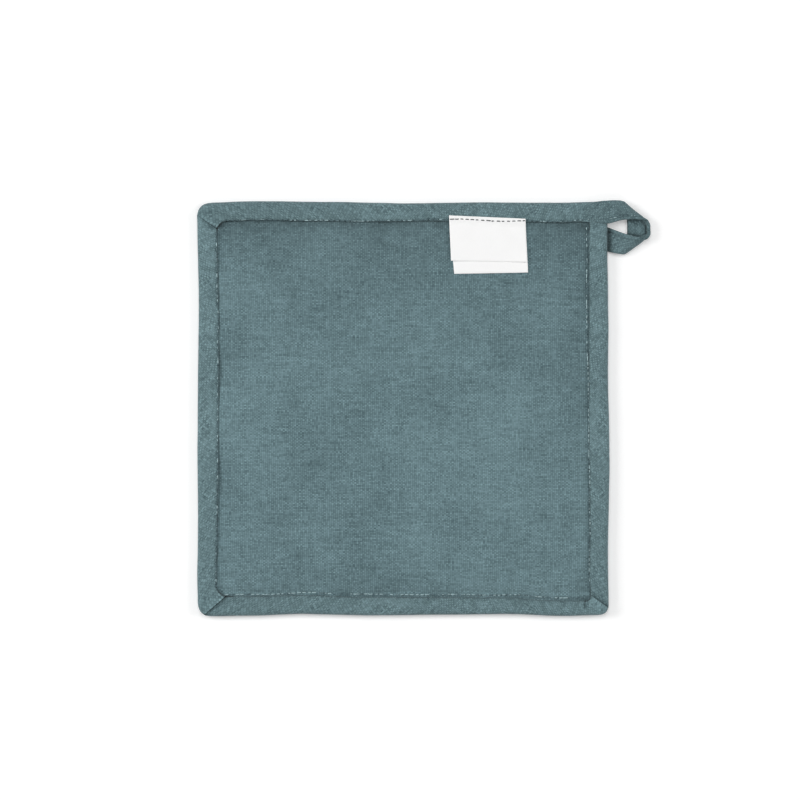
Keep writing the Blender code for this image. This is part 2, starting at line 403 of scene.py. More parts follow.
def darker(colour, share):
    return tuple(part * share for part in colour[:3]) + (1,)


def makeClothMaterial(name, kind, turn, look):
    material, desk = newMaterial(name)
    turned = {"Vector": desk.coordinates(kind), "Rotation": (0, 0, math.radians(turn))}
    vector = {"Vector": desk.add("Mapping", turned).outputs[0]}
    weave = desk.add("Group", {**vector, **clothLook["weave"], **look}, node_tree=weaveGroup)
    lint = desk.add("Group", vector, node_tree=lintGroup).outputs["Height"]
    colour, height = weave.outputs["Color"], weave.outputs["Height"]
    # painted shade and light: the shade attribute darkens the colour in creases, needle
    # holes and next to a seam, and lightens it where it is below zero
    shade = desk.add("Attribute", attribute_name="shade").outputs["Fac"]
    toned = {0: colour, "Scale": desk.minus(1.0, shade)}
    given = {
        "Base Color": desk.add("VectorMath", toned, operation="SCALE").outputs[0],
        "Roughness": desk.scaled(height, -0.12, 0.98),
        "Sheen Weight": 0.12,
        "Sheen Roughness": 0.5,
    }
    desk.surface(desk.scaled(lint, 0.35, height), clothLook["bumpDepth"], given)
    return material


def makeThreadMaterial(name, colours, litFrom):
    # two-ply sewing thread: fine slanted stripes of painted shade between the plies, and some
    # stitches get a painted highlight
    material, desk = newMaterial(name)
    place = desk.coordinates("Object")
    x, y, z = desk.separate(place)
    slant = desk.scaled(z, 2.0, desk.plus(x, y))
    twist = desk.math("SINE", desk.times(slant, clothLook["threadTwist"]))
    twist = desk.scaled(twist, 0.5, 0.5)
    lit = desk.noise(place, 330.0, 1.0)
    lit = desk.math("MULTIPLY_ADD", lit, 9.0, -9.0 * litFrom, clamp=True)
    ply = desk.scaled(twist, 0.3, 0.7)
    colour = desk.mixColour(ply, darker(colours[0], 0.5), desk.mixColour(lit, *colours))
    desk.surface(twist, 0.00005, {"Base Color": colour, "Roughness": 0.45})
    return material


def makeRibbonMaterial():
    # white satin: close lengthwise floats with a fine cross rib
    material, desk = newMaterial("satinRibbon")
    x, y, _ = desk.separate(desk.coordinates("UV"))
    floats = desk.noise(desk.combine(desk.times(x, 5200.0), desk.times(y, 420.0)), 1.0)
    ribs = desk.math("SINE", desk.times(y, 2 * math.pi * 2600.0))
    base = clothLook["ribbon"]
    given = {
        "Base Color": desk.mixColour(floats, darker(base, 0.95), base),
        "Roughness": desk.scaled(floats, 0.2, 0.4),
        "Sheen Weight": 0.1,
    }
    desk.surface(desk.scaled(ribs, 0.18, floats), 0.00004, given)
    return material


def makeWaddingMaterial():
    material, desk = newMaterial("cottonWadding")
    fibres = desk.noise(desk.coordinates("Object"), 900.0, 4.0, 0.7)
    base = clothLook["wadding"]
    colour = desk.mixColour(fibres, darker(base, 0.8), base)
    desk.surface(fibres, 0.0004, {"Base Color": colour, "Roughness": 0.95})
    return material


panelCloth = makeClothMaterial("panelCloth", "Object", 0.0, clothLook["panel"])
tapeCloth = makeClothMaterial("tapeCloth", "UV", 45.0, clothLook["tape"])
threadLook = makeThreadMaterial("sewingThread", clothLook["thread"], 0.53)
# the same thread with more of its stitches given the painted highlight
litThreadLook = makeThreadMaterial("litThread", clothLook["thread"], 0.43)
# painted shade: the sewing thread made darker for the stitches on the label
shadedLabelThreadLook = makeThreadMaterial("shadedLabelThread", clothLook["shadedLabelThread"], 0.55)
ribbonLook = makeRibbonMaterial()
waddingLook = makeWaddingMaterial()
print("materials made")

# Pad: back cloth, front cloth and wadding, blown up together as one cushion. The painted
# shades at the seams are (share, fade), the painted light at the foot is (share, place,
# width), and the painted shade of small folds by the stitches is (depth, size, fade).
cushion = {
    "cells": 100,
    "crowding": 0.16,
    "simFrames": 20,
    "pressure": 0.003,
    "cloth": {
        "quality": 5,
        "mass": 0.2,
        "tension_stiffness": 25,
        "compression_stiffness": 25,
        "shear_stiffness": 8,
        "bending_stiffness": 0.05,
        "shrink_min": -0.004,
        "use_pressure": True,
    },
    "mostMove": 0.8,
    "clothThickness": 0.4,
    "roll": 0.16,
    "rollSize": 34.0,
    "layerGap": 0.25,
    "firstRise": (2.0, 6.5, 3.0),
    "slowRise": (0.66, 28.0),
    "topShade": ((0.14, 2.0), (0.19, 16.0), (0.11, 90.0)),
    "sideShade": ((0.12, 5.0),),
    "footShade": ((0.17, 6.0),),
    "footLight": (0.16, 0.8, 0.7),
    "puckerShade": (0.13, 4.2, 8.0),
}


def padRise(inside, full, near):
    # the padding rises fast at the stitching, then slowly to the middle
    share, far = cushion["slowRise"]

    def rise(distance):
        fast = (1 - share) * (1 - math.exp(-distance / near))
        return fast + share * (1 - math.exp(-distance / far))

    return rise(inside) / rise(full)


def insideSeam(x, y):
    halfX, halfY = padHalf(padShape["seamInset"])
    return max(halfX - abs(x), 0.0), max(halfY - abs(y), 0.0)


def backHeight(x, y):
    gapX, gapY = insideSeam(x, y)
    fullX, fullY = padHalf(padShape["seamInset"])
    nearX, nearTop, nearFoot = cushion["firstRise"]
    nearY = nearTop if y > 0 else nearFoot
    rise = padRise(gapX, fullX, nearX) * padRise(gapY, fullY, nearY)
    size = cushion["rollSize"]
    roll = ripple(x, y, size, 1) + ripple(x, y, size / 2.6, 2) * 0.35
    roll *= cushion["roll"] * min(rise * 1.6, 1.0)
    return padShape["backAtSeam"] + padShape["backCrown"] * rise + roll


def frontHeight(x, y):
    gapX, gapY = insideSeam(x, y)
    reach = padShape["frontFlatAfter"]
    flat = smoothStep(0, reach, gapX) * smoothStep(0, reach, gapY)
    return padShape["frontAtSeam"] * (1 - flat)


def seamShade(x, y):
    # painted shade: the cloth is darker where it dips to a seam, and streaks of painted shade
    # stand for small folds running in from the stitches; beside the bottom ones a painted
    # highlight lightens it
    halfX, halfY = padHalf(padShape["seamInset"])
    light, place, width = cushion["footLight"]
    shade = -light * math.exp(-(((halfY + y - place) / width) ** 2))
    gaps = {"topShade": halfY - y, "footShade": halfY + y, "sideShade": halfX - x}
    for name, gap in gaps.items():
        shade += sum(share * math.exp(-max(gap, 0) / fade) for share, fade in cushion[name])
    depth, size, fade = cushion["puckerShade"]
    gapX, gapY = insideSeam(x, y)
    shade += depth * ripple(x, y / 3, size, 31) * math.exp(-gapY / fade)
    return shade + depth * ripple(x / 3, y, size, 32) * math.exp(-gapX / fade) * 0.7


def padPlace(u, v, inset=0.0):
    # a place on the pad's grid, whose lines stand closer together near the seam
    crowding = cushion["crowding"]
    place = []
    for share, half in zip((2 * u - 1, 2 * v - 1), padHalf(padShape["edgeInset"] + inset)):
        place.append(half * (share * (1 + crowding) - crowding * share**3))
    return place


def makePanel(name, height):
    cells = cushion["cells"]

    def place(column, row):
        x, y = padPlace(column / cells, row / cells)
        return Vector((x, y, height(x, y)))

    def shade(column, row):
        return seamShade(*padPlace(column / cells, row / cells))

    return clothGrid(name, cells, cells, place, lambda u, v: (u / cells, v / cells), shade)


def blowUp(piece, way):
    # the padding presses the cloth outwards; the seam and the flat front stay put
    before = [vertex.co.copy() for vertex in piece.data.vertices]
    pins = piece.vertex_groups.new(name="sewn")
    for vertex in piece.data.vertices:
        gap = min(insideSeam(vertex.co.x / mm, vertex.co.y / mm))
        hold = 1.0 if gap <= 0 else 0.0
        if way < 0:
            hold = max(hold, smoothStep(10, 18, gap))
        pins.add([vertex.index], hold, "REPLACE")
    makeActive(piece)
    cloth = piece.modifiers.new("cloth", "CLOTH")
    for name, value in cushion["cloth"].items():
        setattr(cloth.settings, name, value)
    cloth.settings.vertex_group_mass = pins.name
    cloth.settings.uniform_pressure_force = cushion["pressure"] * way
    cloth.settings.effector_weights.gravity = 0
    cloth.collision_settings.use_collision = False
    cloth.point_cache.frame_start = 1
    cloth.point_cache.frame_end = cushion["simFrames"]
    for step in range(1, cushion["simFrames"] + 1):
        bpy.context.scene.frame_set(step)
    bpy.ops.object.modifier_apply(modifier=cloth.name)
    bpy.context.scene.frame_set(1)
    most = cushion["mostMove"] * mm
    moved = 0.0
    for vertex, start in zip(piece.data.vertices, before):
        shift = vertex.co - start
        if shift.length > most:
            shift *= most / shift.length
        moved = max(moved, shift.length)
        vertex.co = start + shift
        vertex.co.z = max(vertex.co.z, 0.0)
    print(piece.name, "simulated, largest move", round(moved / mm, 2), "mm")


backCloth = makePanel("backCloth", backHeight)
frontCloth = makePanel("frontCloth", frontHeight)
blowUp(backCloth, 1)
blowUp(frontCloth, -1)


def makeWadding():
    # the fleece fills the room between the two cloths, a little clear of both; its rows
    # go over the top and come back along the underside
    gap = cushion["clothThickness"] + cushion["layerGap"]
    seen = bpy.context.evaluated_depsgraph_get()
    topAt = heightReader(BVHTree.FromObject(backCloth, seen))
    footAt = heightReader(BVHTree.FromObject(frontCloth, seen), below=True)
    columns = cushion["cells"]
    rows = columns // 2

    def place(column, row):
        turn = min(row, 2 * rows - row)
        x, y = padPlace(column / columns, turn / rows, 0.6)
        top, foot = topAt(x, y) - gap, footAt(x, y) + gap
        if column in (0, columns) or turn in (0, rows):
            top = foot = (top + foot) / 2
        return Vector((x, y, top if row < rows else foot))

    piece = clothGrid("fleecePad", columns, 2 * rows, place, lambda u, v: (u, v))
    closeMesh(piece)
    return piece


fleecePad = makeWadding()
finishPiece(fleecePad, waddingLook, ["wadding"])


def finishPanels():
    for piece, node in ((backCloth, "back_panel"), (frontCloth, "front_panel")):
        applyModifier(piece, "SUBSURF", levels=1, render_levels=1)
        if piece is frontCloth:
            bpy.ops.object.mode_set(mode="EDIT")
            bpy.ops.mesh.select_all(action="SELECT")
            bpy.ops.mesh.flip_normals()
            bpy.ops.object.mode_set(mode="OBJECT")
        applyModifier(piece, "SOLIDIFY", thickness=cushion["clothThickness"] * mm, offset=-1)
        for vertex in piece.data.vertices:
            vertex.co.z = max(vertex.co.z, 0.00002)
        finishPiece(piece, panelCloth, [node])


finishPanels()
print("pad made")

# Bias tape round the edge. spread: how far it stands out past the pad. sideLength: about
# how long a side is between its folds. dart: a small crease, its line in pixels.
tape = {
    "spread": 0.14,
    "sideLength": 190.0,
    "sideSteps": 220,
    "cornerSteps": 16,
    "cornerCut": 0.7,
    "stationsPerSide": 380,
    "nearFold": 12.0,
    "stationsNearFold": 48,
    "clothPair": 0.8,
    "rimTop": 5.2,
    "rimFoot": 0.6,
    "noseRadius": 2.3,
    "flangeSteps": 12,
    "noseSteps": 8,
    "lipRadius": 0.38,
    "mitreStep": 0.75,
    "mitreDip": 0.75,
    "mitreFade": 11.0,
    "dipFade": 3.5,
    "overhang": 0.3,
    "lipShade": 0.3,
    "cornerLipShade": 0.35,
    "innerShade": 0.08,
    "dart": {"line": ((585.0, 596.5), (584.0, 608.0)), "depth": 0.3, "shade": 0.55},
    "bumpy": 0.10,
    "pucker": 0.10,
    "stitchPitch": 2.5,
}

# Each side of the pad, clockwise from above. bow: how far the edge stands out at equal
# steps from start to end. reach: how wide the tape lies there, as (share, inset).
# stitch: the seam's place past that, on the panel. sewn: where the seam starts and ends.
# shade: how much darker that arm lies.
sides = [
    {
        "name": "top",
        "shade": 0.09,
        "along": Vector((1, 0)),
        "out": Vector((0, 1)),
        "bow": (
            *(-0.1, 0.05, 0.5, 0.66, 0.62, 0.45, 0.35, 0.3, 0.02, -0.11, -0.36),
            *(-0.28, -0.12, 0.06, 0.14, -0.02, -0.04, -0.05, -0.03, 0.32, 0.52),
        ),
        "reach": (
            *((0, 9.0), (0.08, 9.0), (0.16, 8.7), (0.3, 9.1), (0.42, 9.5)),
            *((0.55, 9.2), (0.8, 9.6), (0.87, 9.9), (0.95, 9.4), (1, 9.0)),
        ),
        "stitch": ((0, -0.3), (0.2, -0.5), (0.5, -0.5), (0.6, -1.2), (0.78, -0.4), (1, -1.0)),
        "sewn": (0.067, 0.965),
    },
    {
        "name": "right",
        "shade": 0.03,
        "along": Vector((0, -1)),
        "out": Vector((1, 0)),
        "bow": (
            *(-0.5, -0.55, -0.6, -0.55, -0.3, -0.22, -0.06, -0.18, -0.25, -0.22, 0.03),
            *(0.29, 0.42, 0.47, 0.22, 0.04, -0.2, -0.31, -0.25, -0.05, 0.0),
        ),
        "reach": ((0, 9.5), (0.2, 9.6), (0.6, 9.7), (0.7, 9.3), (0.9, 9.3), (1, 8.9)),
        "stitch": ((0, 1.1), (0.3, 0.9), (0.42, 0.3), (0.6, -0.1), (1, 0.1)),
        "sewn": (0.058, 0.923),
    },
    {
        "name": "bottom",
        "shade": 0.055,
        "along": Vector((-1, 0)),
        "out": Vector((0, -1)),
        "bow": (
            *(0.05, 0.2, 0.52, 0.37, -0.18, -0.44, -0.27, -0.15, -0.06, -0.06, 0.16),
            *(0.21, 0.24, 0.02, -0.2, -0.48, -0.12, 0.34, 0.43, 0.66, 0.5),
        ),
        "reach": (
            *((0, 6.9), (0.1, 6.9), (0.16, 7.2), (0.24, 8.4), (0.45, 8.7)),
            *((0.6, 8.8), (0.75, 9.7), (0.87, 9.1), (1, 9.3)),
        ),
        "stitch": ((0, 1.3), (0.2, 1.4), (0.28, 1.1), (0.6, 1.2), (1, 0.7)),
        "sewn": (0.06, 0.936),
    },
    {
        "name": "left",
        "shade": 0.01,
        "along": Vector((0, 1)),
        "out": Vector((-1, 0)),
        "bow": (
            *(0.09, 0.13, 0.36, 0.16, 0.04, -0.01, 0.06, 0.2, 0.25, 0.14, 0.12),
            *(0.06, -0.05, -0.13, -0.35, -0.43, -0.31, -0.07, 0.2, 0.36, 0.5),
        ),
        "reach": (
            *((0, 8.9), (0.1, 9.1), (0.2, 9.6), (0.35, 10.0), (0.5, 10.4)),
            *((0.7, 10.4), (0.8, 10.0), (0.9, 9.5), (1, 9.3)),
        ),
        "stitch": ((0, -0.3), (0.3, -0.6), (0.6, -0.8), (0.85, -0.5), (1, -0.3)),
        "sewn": (0.065, 0.93),
    },
]

# Corners after each side: radius of the outer edge, how far the inner edge is cut off
# aslant, the fold line of the mitre in pixels from the inside to the outside, which
# side's tape lies on top there, how much the light catches it beside the fold and how
# far from it, and how dark the crease is as (share, shade).
corners = [
    {"radius": 5.5, "inner": 1.0, "fold": None, "over": None},
    {
        "radius": 5.0,
        "inner": 1.8,
        "fold": ((588.6, 594.0), (607.4, 607.6)),
        "over": "bottom",
        "light": (0.12, 7.5),
        "crease": ((0, 0.3), (0.2, 0.5), (0.65, 0.45), (0.85, 0.05), (1, 0.0)),
    },
    {
        "radius": 6.4,
        "inner": 4.4,
        "fold": ((223.2, 597.1), (205.0, 612.9)),
        "over": "left",
        "light": (0.12, 2.2),
        "crease": ((0, 0.25), (0.2, 0.6), (1, 0.65)),
    },
    {
        "radius": 7.2,
        "inner": 4.2,
        "fold": ((217.4, 228.2), (197.2, 214.8)),
        "over": "top",
        "light": (0.13, 2.0),
        "crease": ((0, 0.1), (0.4, 0.25), (0.7, 0.55), (1, 0.6)),
    },
]


def sideHalf(side, share=0.0):
    # half the side's length, and how far out it lies: share 0 is the folded edge, which
    # stands out and bows, and 1 the straight inner edge
    x, y = padHalf(-tape["spread"] * (1 - share))
    return (x, y) if side["along"].x else (y, x)


def tapeOutline(share):
    # a closed outline, from share 0 on the outer edge of the pad to 1 on the inner edge
    # of the tape
    def reach(side, along):
        return alongTable(side["reach"], along) * share

    def bow(side, along):
        return alongCurve(side["bow"], along) * (1 - share)

    def radius(corner):
        return corner["radius"] * (1 - share) + corner["inner"] * share

    outline = []
    for number, side in enumerate(sides):
        nextSide = sides[(number + 1) % 4]
        long, away = sideHalf(side, share)
        start = -long + reach(sides[number - 1], 1) + radius(corners[number - 1])
        end = long - reach(nextSide, 0) - radius(corners[number])
        for part in evenly(tape["sideSteps"]):
            at = start + (end - start) * part
            along = (at + long) / (2 * long)
            out = away - reach(side, along) + bow(side, along)
            outline.append(side["along"] * at + side["out"] * out)
        # round the corner on a squarish arc to the next side; the inner edge is cut
        # nearly straight across it
        nextEdge = side["along"] * (long - reach(nextSide, 0) + bow(nextSide, 0))
        away -= reach(side, 1)
        first = outline[-1]
        last = nextEdge + side["out"] * (away - radius(corners[number]))
        knee = nextEdge + side["out"] * (away + bow(side, 1))
        knee = knee.lerp(first.lerp(last, 0.5), tape["cornerCut"] * share)
        for t in evenly(tape["cornerSteps"])[1:-1]:
            outline.append(first.lerp(knee, t).lerp(knee.lerp(last, t), t))
    return outline


def crossing(a, b, c, d):
    # share along a-b where the endless line c-d cuts it, or None
    r, s = b - a, d - c
    cross = r.x * s.y - r.y * s.x
    if abs(cross) < 1e-9:
        return None
    t = ((c - a).x * s.y - (c - a).y * s.x) / cross
    return t if 0 <= t < 1 else None


def cornerFold(number):
    # its fold line; the corner without a mitre has one towards the middle of the pad
    corner, side = corners[number], sides[number]
    if corner["fold"]:
        return flatLine(corner["fold"])
    long, away = sideHalf(side)
    outer = side["along"] * long + side["out"] * away
    return outer * 0.9, outer


def stationPlace(step, total):
    # stations stand closer together next to the folds at both ends of a side
    steps, near = tape["stationsPerSide"], tape["nearFold"]
    endSteps = tape["stationsNearFold"]
    fromEnd = min(step, steps - step)
    if fromEnd < endSteps:
        place = near * (fromEnd / endSteps) ** 1.3
    else:
        place = near + (total - 2 * near) * (fromEnd - endSteps) / (steps - 2 * endSteps)
    return place if fromEnd == step else total - place


def stationsRound(share):
    # points round one outline, so many from each corner's fold line to the next, with a
    # pair of points at each fold
    outline = tapeOutline(share)
    outline.append(outline[0])
    lengths = runningLengths(outline)
    cuts = []
    for number in range(4):
        inner, outer = cornerFold(number)
        for step, (a, b) in enumerate(zip(outline, outline[1:])):
            t = crossing(a, b, inner, outer) if (a - outer).length <= 30 else None
            if t is not None:
                cut = lengths[step] + (lengths[step + 1] - lengths[step]) * t
        cuts.append(cut)
    points = []
    for number in range(4):
        start = cuts[number - 1] - (lengths[-1] if number == 0 else 0)
        for step in range(tape["stationsPerSide"] + 1):
            at = (start + stationPlace(step, cuts[number] - start)) % lengths[-1]
            points.append(pointAlong(outline, lengths, at))
    return points


def tapeSection():
    # (inset, height, skin) round the closed section of the folded tape, and how far
    # along its cloth each of them is
    top, foot = tape["rimTop"], tape["rimFoot"]
    nose, wall, lip = tape["noseRadius"], tape["clothPair"], tape["lipRadius"]
    reach = padShape["seamInset"]
    end = reach - lip
    middle = (top + foot) / 2
    section = []

    def flat(shares, height, skin):
        # straight on from the lip, share 0, towards the nose, share 1
        for share in shares:
            section.append((end - (end - nose) * share, height, skin))

    def bend(inset, height, wide, tall, steps, skin):
        for turn in evenly(steps)[1:-1]:
            angle = math.pi * turn
            place = (inset + wide * math.sin(angle), height + tall * math.cos(angle))
            section.append((*place, skin))

    steps = tape["flangeSteps"]
    flat([share * share * 0.35 + share * 0.65 for share in evenly(steps)], top, "back")
    bend(nose, middle, -nose, nose, tape["noseSteps"], "nose")
    flat(evenly(steps // 2)[::-1], foot, "front")
    bend(end, foot + wall / 2, lip, -wall / 2, 4, "lip")
    flat((0.0, 0.5, 1.0), foot + wall, "inside")
    bend(nose, middle, wall - nose, wall - nose, 4, "inside")
    flat((1.0, 0.5, 0.0), top - wall, "inside")
    bend(end, top - wall / 2, lip, -wall / 2, 4, "lip")
    first = -(reach - nose + nose * math.pi / 2)
    line = [Vector(place[:2]) for place in section + section[:1]]
    return section, [first + length for length in runningLengths(line)]


def makeTapeRing():
    section, lengths = tapeSection()
    reach = padShape["seamInset"]
    rings = [stationsRound(inset / reach) for inset, _, _ in section]
    perSide = tape["stationsPerSide"] + 1
    columns, rows = 4 * perSide, len(section)
    dart = tape["dart"]
    dartLine = flatLine(dart["line"])

    stations = []
    for column in range(columns):
        # its side, and for the fold at each end of the side: how far it is, the way
        # there, its corner, and whether this arm lies on top, below or neither
        side, step = divmod(column, perSide)
        start = stationPlace(step, tape["sideLength"])
        folds = []
        for corner, distance, way in (
            (corners[side - 1], start, -1),
            (corners[side], tape["sideLength"] - start, 1),
        ):
            over = corner["over"]
            rank = 0 if not over else 1 if over == sides[side]["name"] else -1
            folds.append((distance, way, corner, rank))
        stations.append((side, folds))

    def station(column, row):
        column, row = column % columns, row % rows
        return rings[row][column], *stations[column], *section[row]

    def dartAt(point):
        return smoothStep(0.45, 0.05, offLine(point, *dartLine))

    # painted shade of the tape: each arm's own share, the dart, the dark line along the sewn
    # edge, the inner edge and the mitre creases; beside a fold the arm on top gets a painted
    # highlight
    def shade(column, row):
        point, side, folds, inset, _, skin = station(column, row)
        tone = sides[side]["shade"] + dartAt(point) * dart["shade"]
        if row % rows == 0 or skin == "lip":
            # the thin dark line along the sewn edge comes and goes
            tone += tape["lipShade"] * (0.8 + 0.8 * ripple(point.x, point.y, 4.5, 8))
            nearest = min(distance for distance, *_ in folds)
            tone += tape["cornerLipShade"] * smoothStep(5.5, 3.5, nearest)
        if side != 1:
            tone += tape["innerShade"] * smoothStep(0.7, 0.95, inset / reach)
        for distance, _, corner, rank in folds:
            if rank > 0:
                light, width = corner["light"]
                tone -= light * smoothStep(width, 0.2 * width, distance)
            elif rank < 0:
                crease = alongTable(corner["crease"], inset / reach)
                tone += crease * smoothStep(0.9, 0.15, distance)
        return tone

    def place(column, row):
        point, side, folds, inset, height, skin = station(column, row)
        hidden = skin == "inside"
        # the arm that lies on top is higher next to its fold line, on both faces
        lift = -dartAt(point) * dart["depth"]
        for distance, way, _, rank in folds:
            if rank > 0:
                lift += tape["mitreStep"] * smoothStep(tape["mitreFade"], 0, distance)
            elif rank < 0:
                lift -= tape["mitreDip"] * smoothStep(tape["dipFade"], 0, distance)
            if distance == 0 and rank > 0 and not hidden:
                point = point + sides[side]["along"] * way * tape["overhang"]
        soft = ripple(point.x, point.y, 7.0, 3) + ripple(point.x, point.y, 21.0, 4)
        soft *= tape["bumpy"]
        run = point.x if side in (0, 2) else point.y
        pull = 0.5 + 0.5 * math.cos(2 * math.pi * run / tape["stitchPitch"])
        pull *= tape["pucker"] * smoothStep(0.75, 0.95, inset / reach)
        if height > (tape["rimTop"] + tape["rimFoot"]) / 2:
            rise = lift * (0.2 if hidden else 1.0) + soft - pull
        else:
            rise = -lift * (0.2 if hidden else 0.6)
            if height < 1.0:
                rise = max(rise - soft * 0.5, 0.05 - height)
        out = 0.0
        if skin == "nose":
            out = soft * 0.6
        elif skin == "lip":
            out = pull * 0.8 - ripple(point.x, point.y, 4.0, 9) * 0.12
        return Vector((*(point + point.normalized() * out), height + rise))

    def uv(u, v):
        side = min(int((u - 0.001) // perSide), 3) if u > 0 else 0
        at = rings[0][int(round(u)) % columns]
        along = at.x if side in (0, 2) else at.y
        return (along * mm, lengths[min(int(round(v)), rows)] * mm)

    ring = clothGrid("bindingTape", columns, rows, place, uv, shade)
    closeMesh(ring)
    bpy.ops.object.shade_smooth_by_angle(angle=math.radians(50))
    print("tape ring:", len(ring.data.polygons), "faces")
    return ring


bindingTape = makeTapeRing()

# Hanging loop: lines across the tape at even steps along it, each with four points: the
# folded edge, the middle, the stitch line and the stitched edge. x and y in pixels,
# height in millimetres. profile: across the tape, how full it is at each place, pinched
# in along the stitches. sewn: from which line to which its own stitches run.
loop = {
    "stepsPerLine": 14,
    "seamAt": 0.83,
    "thickness": 1.1,
    "shade": (0.20, 0.15, 0.22),
    "middleShade": 0.06,
    "darkLine": (
        *((642.5, 220.9), (645.9, 225.9), (646.5, 232.9)),
        *((640.2, 235.6), (627.4, 233.3), (626.9, 221.0)),
    ),
    "darkLineShade": 0.42,
    "underPad": (608.5, 614.0, 0.5),
    "sewn": (2.0, 5.4),
    "fullness": (0.5, 0.9) + (1.0,) * 12,
    "profile": (
        *((0.0, 0.15), (0.015, 0.6), (0.04, 0.9), (0.09, 1.0), (0.18, 1.0), (0.28, 1.0)),
        *((0.38, 1.0), (0.48, 1.0), (0.57, 1.0), (0.65, 1.02), (0.72, 1.0), (0.77, 0.9)),
        *((0.805, 0.62), (0.83, 0.42), (0.855, 0.62), (0.885, 0.95), (0.93, 1.12)),
        *((0.97, 1.05), (0.993, 0.75), (1.0, 0.4), (0.992, 0.05)),
    ),
    "lines": (
        ((578, 206.6, 4.80), (578, 212.0, 4.80), (578, 217.6, 4.80), (578, 221.4, 4.75)),
        ((597, 201.5, 4.85), (597, 210.0, 5.15), (597, 218.4, 5.25), (597, 222.6, 5.20)),
        ((607, 200.4, 4.75), (607.4, 209.5, 5.10), (607.8, 218.9, 5.30), (608, 223.5, 5.25)),
        ((614.8, 200.0, 4.5), (617.5, 209.2, 4.95), (620.5, 216.4, 5.1), (621.8, 220.0, 5.0)),
        ((621.8, 200.6, 3.7), (628.0, 209.8, 4.5), (633.4, 215.6, 4.8), (635.6, 219.2, 4.75)),
        ((624.6, 203.2, 2.3), (635.7, 212.6, 2.9), (643.0, 217.8, 4.1), (646.2, 220.4, 4.2)),
        ((626.4, 210.5, 1.0), (641.0, 218.8, 0.8), (645.8, 223.4, 2.7), (649.6, 223.9, 3.8)),
        ((627.4, 227.5, 0.75), (642.4, 228.4, 0.2), (646.2, 229.0, 2.4), (650.0, 229.2, 3.6)),
        ((626.8, 243.0, 0.75), (641.0, 238.6, 0.3), (646.0, 234.6, 2.2), (649.9, 234.2, 3.6)),
        ((624.4, 253.0, 1.7), (636.2, 245.3, 1.7), (643.0, 239.7, 3.2), (646.4, 237.4, 4.0)),
        ((619.4, 253.6, 2.9), (628.2, 246.4, 3.6), (634.6, 240.4, 4.2), (637.6, 236.9, 4.2)),
        ((613.0, 252.4, 2.2), (617.0, 243.8, 3.1), (621.4, 237.0, 3.4), (623.6, 233.0, 3.3)),
        ((607, 251.0, 0.95), (607, 241.0, 1.0), (607, 230.8, 1.05), (607, 226.4, 1.05)),
        ((594, 248.0, 0.70), (594, 238.0, 0.7), (594, 227.0, 0.7), (594, 222.6, 0.7)),
    ),
}


def loopCentre(along, across):
    seamAt = loop["seamAt"]
    a, b, c, d = (
        alongCurve([fromPhoto(*line[part]) for line in loop["lines"]], along)
        for part in range(4)
    )
    if across > seamAt:
        return c.lerp(d, (across - seamAt) / (1 - seamAt))
    t = across / seamAt
    return a.lerp(b, t).lerp(b.lerp(c, t), t)


def loopFrame(along, across):
    # centre of the folded tape there, and the way its upper face looks
    ahead = loopCentre(min(along + 0.004, 1), across)
    ahead -= loopCentre(max(along - 0.004, 0), across)
    over = loopCentre(along, min(across + 0.03, 1)) - loopCentre(along, max(across - 0.03, 0))
    return loopCentre(along, across), over.cross(ahead).normalized()


def makeLoop():
    columns = (len(loop["lines"]) - 1) * loop["stepsPerLine"]
    half = loop["thickness"] / 2
    ring = [(t, face, share) for face in (1, -1) for t, share in loop["profile"][::face]]
    rows = len(ring)
    width = padShape["seamInset"] + 1.3
    darkLine = flatLine(loop["darkLine"])
    starts = runningLengths([loopCentre(share, 0.5) for share in evenly(columns)])
    shift = loopCentre(0, 0.5).x

    def place(column, row):
        along = column / columns
        t, face, share = ring[row % rows]
        centre, up = loopFrame(along, t)
        thick = half * min(alongCurve(loop["fullness"], along), 1.0)
        swell = 1 + ripple(centre.x, centre.y, 5.0, 6) * 0.12
        return centre + up * (face * share * thick * swell)

    def uv(u, v):
        t, face, _ = ring[int(round(v)) % rows]
        return ((starts[int(round(u))] + shift) * mm, face * t * width * mm)

    def shade(column, row):
        # painted shade: darker than the bound edge, and darkest in the groove along the
        # stitches
        first, last, groove = loop["shade"]
        t = ring[row % rows][0]
        line = column / loop["stepsPerLine"]
        tone = first + (last - first) * smoothStep(0.3, 0.7, column / columns)
        groove *= smoothStep(1.6, 2.6, line)
        tone += groove * math.exp(-(((t - loop["seamAt"]) / 0.035) ** 2))
        place = loopCentre(column / columns, t).to_2d()
        if line > 10.5:
            # painted shade where the lower arm runs back under the pad
            dark, clear, depth = loop["underPad"]
            at = photo["padMiddle"][0] + place.x / photo["mmPerPixel"]
            tone += depth * smoothStep(clear, dark, at)
        if 4.5 < line < 9.2:
            # painted shade: the lower arm shades the middle one along its edge, and the
            # middle one is darker throughout
            away = min(offLine(place, a, b) for a, b in zip(darkLine, darkLine[1:]))
            tone += loop["darkLineShade"] * math.exp(-((away / 0.5) ** 2))
            tone += loop["middleShade"]
        return tone

    piece = clothGrid("loopTape", columns, rows, place, uv, shade)
    closeMesh(piece)
    # close both ends
    bpy.ops.object.mode_set(mode="EDIT")
    bpy.ops.mesh.select_all(action="DESELECT")
    bpy.ops.mesh.select_non_manifold(extend=False)
    bpy.ops.mesh.edge_face_add()
    bpy.ops.object.mode_set(mode="OBJECT")
    closeMesh(piece)
    return piece


loopTape = makeLoop()
makeActive(bindingTape)
loopTape.select_set(True)
bpy.ops.object.join()
bindingTape.name = bindingTape.data.name = "bindingTape"
finishPiece(bindingTape, tapeCloth, ["edge_binding"])
print("tape made")

